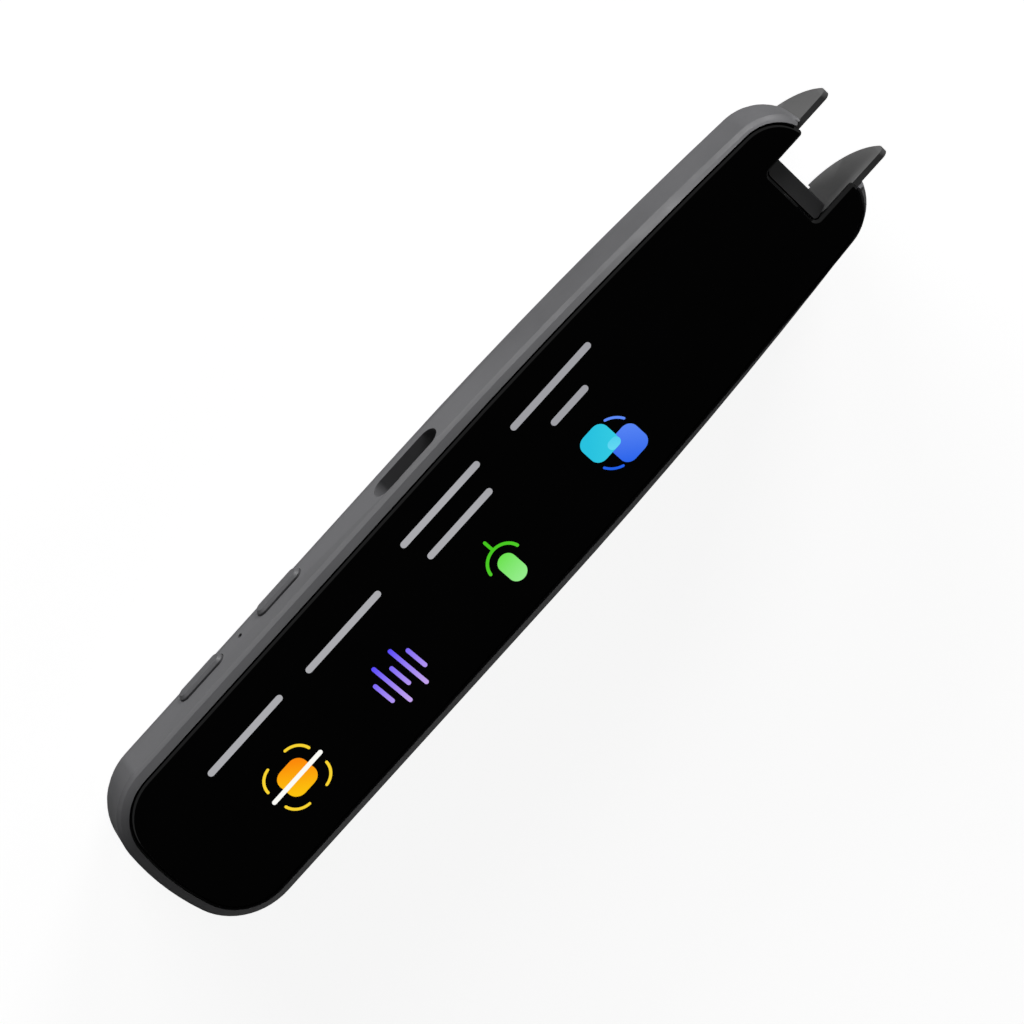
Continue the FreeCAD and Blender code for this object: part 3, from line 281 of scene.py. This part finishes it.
def glow(name, first, last, direction=(1, 0), centre=(0, 0), reach=4.0, ends=(0.0, 1.0)):
    """A lit shape under the glass's polish. Its colour runs from first to last along a direction,
    from reach millimetres before the centre to as far past it, and the picture's rows ripple it."""
    n = Finish(name)
    mapping = n.add("ShaderNodeMapping")
    n.put(mapping, Location=(-centre[0] * MM, -centre[1] * MM, 0))
    n.join(n.place, mapping.inputs["Vector"])
    along = n.add("ShaderNodeVectorMath", operation="DOT_PRODUCT")
    along.inputs[1].default_value = Vector((*direction, 0)).normalized()
    n.join(mapping.outputs[0], along.inputs[0])
    way = n.spread(along.outputs["Value"], 0, 1, start=-reach * MM, end=reach * MM)
    rows = n.put(n.add("ShaderNodeTexWave", bands_direction="X"), Scale=3500.0)
    n.join(n.place, rows.inputs["Vector"])
    dim = scaled(WHITE, 0.94)
    node, picture, ripple, result = n.mixer(blend_type="MULTIPLY")
    node.inputs[0].default_value = 1.0
    n.join(n.ramp(way, first, last, *ends), picture)
    n.join(n.ramp(rows.outputs["Fac"], dim, WHITE, start=0.0, end=1.0), ripple)
    n.join(result, n.shader.inputs["Emission Color"])
    n.put(n.shader, Base_Color=BLACK, Emission_Strength=1.0)
    polish(n)
    return n.material


ROLLED = (0.1, 1, 1)

finishes = {
    "housing_plastic": moulded("housing_plastic", shade(104, 104, 106), rough=0.45),
    "nib_plastic": moulded("nib_plastic", shade(96, 96, 96), rough=0.5, grain=0.1 * MM),
    "trim_plastic": moulded("trim_plastic", shade(46, 46, 47), rough=0.5, wear=1.1),
    "button_plastic": moulded("button_plastic", shade(98, 98, 100), rough=0.38),
    "cover_glass": black_glass("cover_glass"),
    "adhesive": rubber("adhesive", shade(24, 24, 24)),
    "display_panel": dark_panel("display_panel"),
    "frame_metal": metal("frame_metal", shade(176, 178, 182), rough=0.4),
    "window_glass": clear_glass("window_glass", shade(210, 218, 226), rough=0.03),
    "circuit_board": circuit("circuit_board"),
    "lamp": clear_glass("lamp", shade(250, 246, 214), rough=0.12),
    "lens_glass": clear_glass("lens_glass", shade(96, 104, 140), rough=0.02),
    "black_plastic": moulded("black_plastic", shade(30, 30, 31), rough=0.45),
    "flex_film": film("flex_film", shade(196, 132, 52)),
    "screw_steel": metal("screw_steel", shade(190, 190, 192), rough=0.3, grain=0.2 * MM),
    "cell_foil": foil("cell_foil"),
    "can_steel": metal("can_steel", shade(205, 205, 204), rough=0.35, stretch=ROLLED),
    "socket_steel": metal("socket_steel", shade(188, 188, 192), rough=0.28, stretch=ROLLED),
    "rubber": rubber("rubber", shade(26, 26, 26)),
    "mesh_steel": moulded("mesh_steel", shade(22, 22, 22), rough=0.5),
    "switch_steel": metal("switch_steel", shade(200, 200, 200), rough=0.35),
}


def assign(thing, material):
    thing.data.materials.clear()
    thing.data.materials.append(material)


for row in frame["record"]["subparts"]:
    assign(nodes[row["node"]], finishes[row["material_slot"]])


# Outlines, as lists of (x, y) points

def arc_points(cx, cy, radius, start, end, count):
    """Points on an arc, angles in degrees."""
    step = (end - start) / (count - 1)
    turns = [math.radians(start + step * i) for i in range(count)]
    return [(cx + radius * math.cos(turn), cy + radius * math.sin(turn)) for turn in turns]


CORNERS = ((1, 1), (-1, 1), (-1, -1), (1, -1))
CORNER_POINTS = 9
CAP_POINTS = 8


def rounded_box(cx, cy, width, height, radius):
    points = []
    for quarter, (sx, sy) in enumerate(CORNERS):
        x = cx + sx * (width / 2 - radius)
        y = cy + sy * (height / 2 - radius)
        points += arc_points(x, y, radius, 90 * quarter, 90 * quarter + 90, CORNER_POINTS)
    return points


def stroke(path, width):
    """The outline of a line of even width with round ends, drawn along a path."""
    half = width / 2
    left, right = [], []
    for i, (x, y) in enumerate(path):
        ax, ay = path[max(i - 1, 0)]
        bx, by = path[min(i + 1, len(path) - 1)]
        run = math.hypot(bx - ax, by - ay)
        nx, ny = -(by - ay) / run * half, (bx - ax) / run * half
        left.append((x + nx, y + ny))
        right.append((x - nx, y - ny))

    def cap(centre, begin):
        turn = math.degrees(math.atan2(begin[1] - centre[1], begin[0] - centre[0]))
        return arc_points(*centre, half, turn, turn - 180, CAP_POINTS)[1:-1]

    return left + cap(path[-1], left[-1]) + right[::-1] + cap(path[0], right[0])


# Pieces of the scene's own

def add_piece(name, mesh):
    piece = bpy.data.objects.new(name, mesh)
    bpy.context.scene.collection.objects.link(piece)
    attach(piece, "housing")
    return piece


# Screen picture: the icons and caption bars start in the glass and stand a hair above its face

GLASS_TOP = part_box("cover_glass")[1].z
PICTURE_LOW = GLASS_TOP - 0.05 * MM
PICTURE_HIGH = GLASS_TOP + 0.02 * MM
LAYER = 0.008 * MM


def lit(name, outline, material, layer=0):
    """One lit shape of the screen, from a closed outline in millimetres. A shape on a higher
    layer covers the ones below it."""
    bm = bmesh.new()
    face = bm.faces.new([bm.verts.new((x * MM, y * MM, PICTURE_LOW)) for x, y in outline])
    bmesh.ops.recalc_face_normals(bm, faces=[face])
    moved = bmesh.ops.extrude_face_region(bm, geom=[face])["geom"]
    for vertex in [v for v in moved if isinstance(v, bmesh.types.BMVert)]:
        vertex.co.z = PICTURE_HIGH + layer * LAYER
    bmesh.ops.recalc_face_normals(bm, faces=bm.faces)
    bmesh.ops.triangulate(bm, faces=[f for f in bm.faces if len(f.verts) > 4])
    mesh = bpy.data.meshes.new(name)
    bm.to_mesh(mesh)
    bm.free()
    mesh.materials.append(material)
    add_piece(name, mesh)


def make_translate_icon(cx, cy):
    """Two rounded tiles, paler where they overlap, with a short arc at either side."""
    tile, corner = 5.1, 1.6
    aside, apart = 1.45, 1.75
    arc_radius, arc_half_angle, arc_width = 3.9, 22, 0.4
    blue = glow("tile_blue", shade(95, 140, 250), shade(30, 95, 235), (1, 1), (cx, cy), 5.0, (0.1, 0.9))
    cyan = glow("tile_cyan", shade(60, 212, 232), shade(40, 196, 226), (1, -1), (cx, cy), 5.0, (0.1, 0.9))
    pale = glow("tile_overlap", shade(70, 205, 240), shade(110, 225, 248), (1, 1), (cx, cy), 2.0)
    lit("icon_tile_blue", rounded_box(cx - aside, cy + apart, tile, tile, corner), blue)
    lit("icon_tile_cyan", rounded_box(cx + aside, cy - apart, tile, tile, corner), cyan, layer=1)
    shared = rounded_box(cx, cy, tile - 2 * aside, tile - 2 * apart, corner / 2)
    lit("icon_tile_overlap", shared, pale, layer=2)
    for name, middle in (("icon_arc_near", 225), ("icon_arc_far", 45)):
        start, end = middle - arc_half_angle, middle + arc_half_angle
        lit(name, stroke(arc_points(cx, cy, arc_radius, start, end, 12), arc_width), blue)


def make_microphone_icon(cx, cy):
    """A green capsule in an open cup with a stem."""
    width, height, radius, lift = 3.0, 5.2, 1.49, 1.0
    cup_radius, cup_drop, stem_length, line_width = 2.9, 0.3, 1.8, 0.5
    green = glow("microphone_green", shade(92, 224, 40), shade(150, 240, 140), (0, 1), (cx, cy),
                 ends=(0.1, 0.9))
    line = glow("microphone_line", shade(70, 200, 30), shade(90, 214, 50), (0, 1), (cx, cy))
    lit("icon_capsule", rounded_box(cx, cy + lift, width, height, radius), green)
    cup = arc_points(cx, cy - cup_drop, cup_radius, 190, 350, 24)
    lit("icon_cup", stroke(cup, line_width), line)
    stem_top = cy - cup_drop - cup_radius
    lit("icon_stem", stroke([(cx, stem_top), (cx, stem_top - stem_length)], line_width), line)


def make_sound_icon(cx, cy):
    """Five upright bars of a sound wave."""
    pitch, heights, width = 1.75, (4.4, 8.5, 4.4, 8.5, 4.4), 0.68
    end_radius = 0.35
    violet = glow("sound_violet", shade(70, 60, 255), shade(205, 172, 240), (0, 1), (cx, cy), 4.8)
    for i, height in enumerate(heights):
        x = cx + (i - (len(heights) - 1) / 2) * pitch
        half = height / 2 - end_radius
        lit("icon_bar_%d" % i, stroke([(x, cy - half), (x, cy + half)], width), violet)


def make_scan_icon(cx, cy):
    """An orange tile crossed by a white line, with a curved frame at its corners."""
    tile, corner = 5.3, 1.7
    reach, radius, half_angle, frame_width = 4.4, 2.9, 38, 0.45
    half_line, line_width = 4.9, 0.75
    orange = glow("tile_orange", shade(255, 140, 8), shade(255, 196, 12), (1, 1), (cx, cy), 3.2,
                  (0.1, 0.9))
    yellow = glow("frame_yellow", shade(240, 200, 30), shade(252, 214, 50))
    white = glow("line_white", shade(250, 250, 244), shade(255, 255, 250))
    lit("icon_tile_orange", rounded_box(cx, cy, tile, tile, corner), orange)
    for i, (sx, sy) in enumerate(CORNERS):
        middle = math.degrees(math.atan2(sy, sx))
        x, y = cx + sx * (reach - radius), cy + sy * (reach - radius)
        bend = arc_points(x, y, radius, middle - half_angle, middle + half_angle, 14)
        lit("icon_corner_%d" % i, stroke(bend, frame_width), yellow)
    lit("icon_scan_line", stroke([(cx - half_line, cy), (cx + half_line, cy)], line_width), white, layer=1)


def make_labels():
    """Plain bars stand where the icons' captions go."""
    height, radius = 1.1, 0.54
    grey = glow("label_grey", shade(160, 160, 165), shade(172, 172, 176))
    places_and_lengths = ((49.4, -7.2, 15.5), (29.0, -6.7, 15.6), (6.4, -4.5, 13.4),
                          (6.2, -8.9, 16.4), (-16.6, -4.2, 7.5), (-16.8, -8.5, 16.6))
    for i, (x, y, length) in enumerate(places_and_lengths):
        lit("label_bar_%d" % i, rounded_box(x, y, length, height, radius), grey)


make_translate_icon(-16.86, 5.24)
make_microphone_icon(6.19, 5.55)
make_sound_icon(28.6, 4.87)
make_scan_icon(49.38, 3.59)
make_labels()


# Housing: the moulded shell with its shoulder falling away from the glass

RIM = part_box("back_shell")[1].z
RIM_BEVEL = 0.5 * MM
SHOULDER_INNER = RIM + 0.12 * MM
SHOULDER_MIDDLE = RIM - 0.55 * MM
SHOULDER_OUTER = RIM - 1.2 * MM
SAME_PLACE = 1e-6
SAME_LEVEL = 1e-5
CREASE = math.radians(42)


def make_housing():
    """A copy of the shell whose flat rim and bevel become a sloping, rounded shoulder."""
    mesh = nodes["back_shell"].data.copy()
    mesh.name = "housing_shell"
    bm = bmesh.new()
    bm.from_mesh(mesh)
    bmesh.ops.remove_doubles(bm, verts=bm.verts, dist=SAME_PLACE)
    top = [v for v in bm.verts if abs(v.co.z - RIM) < SAME_LEVEL]
    outer = [v for v in bm.verts if abs(v.co.z - (RIM - RIM_BEVEL)) < SAME_LEVEL]
    bevel_foot = set(outer)
    middle = [v for v in top if any(e.other_vert(v) in bevel_foot for e in v.link_edges)]
    bevel_head = set(middle)
    inner = [v for v in top if v not in bevel_head]
    for ring, level in ((inner, SHOULDER_INNER), (middle, SHOULDER_MIDDLE), (outer, SHOULDER_OUTER)):
        for vertex in ring:
            vertex.co.z = level
    for face in bm.faces:
        face.smooth = True
    for edge in bm.edges:
        edge.smooth = len(edge.link_faces) == 2 and edge.calc_face_angle(0) < CREASE
    bm.to_mesh(mesh)
    bm.free()
    shell = add_piece("housing_shell", mesh)
    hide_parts("back_shell")
    weigh = shell.modifiers.new("weigh", "WEIGHTED_NORMAL")
    weigh.keep_sharp = True


def round_edges(name, width, segments, least_angle):
    """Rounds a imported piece's edges, after its meeting faces are joined."""
    weld = nodes[name].modifiers.new("weld", "WELD")
    weld.merge_threshold = SAME_PLACE
    bevel = nodes[name].modifiers.new("rounded", "BEVEL")
    bevel.width = width
    bevel.segments = segments
    bevel.limit_method = "ANGLE"
    bevel.angle_limit = math.radians(least_angle)
    bevel.harden_normals = True


make_housing()
round_edges("scan_nib", width=0.3 * MM, segments=3, least_angle=50)


# Stage, lights and camera

FLOOR_SIZE = 6.0
FLOOR_DROP = 0.05 * MM
FLOOR_GLOW = 0.88
ROOM_LIGHT = 0.035
HORIZON_LIGHT, CEILING_LIGHT = 0.45, 0.03
HORIZON_TOP, CEILING_START = 0.5, 0.8


def make_floor():
    """A pale floor that glows to near white for the camera and keeps the object's shadow."""
    bpy.ops.mesh.primitive_plane_add(size=FLOOR_SIZE, location=(0, 0, -FLOOR_DROP))
    floor = bpy.context.object
    floor.name = "floor"
    n = Finish("floor")
    n.color(n.ramp(n.noise(0.3), shade(240, 240, 240), shade(246, 246, 246)))
    n.rough(n.noise(0.05), 0.7, 0.8)
    n.put(n.shader, Specular_IOR_Level=0.1)
    glowing = n.put(n.add("ShaderNodeEmission"), Color=WHITE, Strength=FLOOR_GLOW)
    both = n.add("ShaderNodeAddShader")
    n.join(n.shader.outputs[0], both.inputs[0])
    n.join(glowing.outputs[0], both.inputs[1])
    camera_ray = n.add("ShaderNodeLightPath").outputs["Is Camera Ray"]
    n.join(n.choose(camera_ray, both.outputs[0], n.shader.outputs[0]), n.out.inputs["Surface"])
    assign(floor, n.material)


def make_world():
    """White to the camera, a dim room for lighting, and for reflections a room that is bright up
    to 30 degrees above the horizon and dark overhead."""
    world = bpy.data.worlds.new("studio")
    bpy.context.scene.world = world
    world.use_nodes = True
    n = Nodes(world.node_tree)
    out = n.add("ShaderNodeOutputWorld")
    rays = n.add("ShaderNodeLightPath").outputs
    white = n.put(n.add("ShaderNodeBackground"), Color=WHITE, Strength=1.0)
    room = n.put(n.add("ShaderNodeBackground"), Color=WHITE, Strength=ROOM_LIGHT)
    horizon = n.put(n.add("ShaderNodeBackground"), Color=WHITE)
    split = n.add("ShaderNodeSeparateXYZ")
    n.join(n.add("ShaderNodeTexCoord").outputs["Generated"], split.inputs[0])
    strength = n.spread(split.outputs["Z"], HORIZON_LIGHT, CEILING_LIGHT, HORIZON_TOP, CEILING_START)
    n.join(strength, horizon.inputs["Strength"])
    unseen = n.choose(rays["Is Glossy Ray"], horizon.outputs[0], room.outputs[0])
    n.join(n.choose(rays["Is Camera Ray"], white.outputs[0], unseen), out.inputs["Surface"])


def make_lamp(name, around, above, distance, width, height, power):
    """A soft lamp turned to the object, around degrees from -Y towards -X and above degrees over
    the floor."""
    side, rise = math.radians(around), math.radians(above)
    level = math.cos(rise)
    place = distance * Vector((-math.sin(side) * level, -math.cos(side) * level, math.sin(rise)))
    light = bpy.data.lights.new(name, "AREA")
    light.shape = "RECTANGLE"
    light.size = width
    light.size_y = height
    light.energy = power
    lamp = bpy.data.objects.new(name, light)
    lamp.location = place
    lamp.rotation_mode = "QUATERNION"
    lamp.rotation_quaternion = place.to_track_quat("Z", "Y")
    bpy.context.scene.collection.objects.link(lamp)


# The camera looks at the screen, tilted towards the button side, with the object turned in the
# picture so that the nib points up and to the right
TILT = math.radians(27.97)
SWING = math.radians(1.968)
SKEW = math.radians(0.354)
PICTURE_TURN = math.radians(48.165)
FOCAL_PIXELS = 4164.0
PICTURE_PIXELS = 1024.0
SENSOR = 36.0
CAMERA_SHIFT = Vector((0.25, -0.41, 596.0)) * MM
NEAREST, FARTHEST = 0.01, 20


def make_camera():
    c, s = math.cos(TILT), math.sin(TILT)
    tilt = Matrix(((1, 0, 0), (0, c, s), (0, -s, c)))
    c, s = math.cos(SWING), math.sin(SWING)
    swing = Matrix(((c, 0, s), (0, 1, 0), (-s, 0, c)))
    c, s = math.cos(SKEW), math.sin(SKEW)
    skew = Matrix(((c, -s, 0), (s, c, 0), (0, 0, 1)))
    flip = Matrix(((-1, 0, 0), (0, 1, 0), (0, 0, -1)))
    turn = skew @ flip @ swing @ tilt
    along, across, forward = turn.row[0], turn.row[1], turn.row[2]
    c, s = math.cos(PICTURE_TURN), math.sin(PICTURE_TURN)
    right = c * along + s * across
    down = -s * along + c * across
    place = Vector((0, 0, GLASS_TOP)) - turn.transposed() @ CAMERA_SHIFT
    data = bpy.data.cameras.new("camera")
    data.sensor_width = SENSOR
    data.lens = FOCAL_PIXELS * SENSOR / PICTURE_PIXELS
    data.clip_start, data.clip_end = NEAREST, FARTHEST
    camera = bpy.data.objects.new("camera", data)
    rows = Matrix((right, -down, -forward)).transposed()
    camera.matrix_world = Matrix.Translation(place) @ rows.to_4x4()
    bpy.context.scene.collection.objects.link(camera)
    bpy.context.scene.camera = camera


make_floor()
make_world()
make_lamp("key_lamp", around=18, above=4.5, distance=1.2, width=0.7, height=0.2, power=9.0)
make_lamp("nose_lamp", around=58, above=6, distance=1.2, width=0.4, height=0.24, power=6.0)
make_lamp("fill_lamp", around=190, above=12, distance=1.4, width=0.9, height=0.4, power=1.0)
make_camera()

bpy.context.scene.view_settings.view_transform = "Standard"
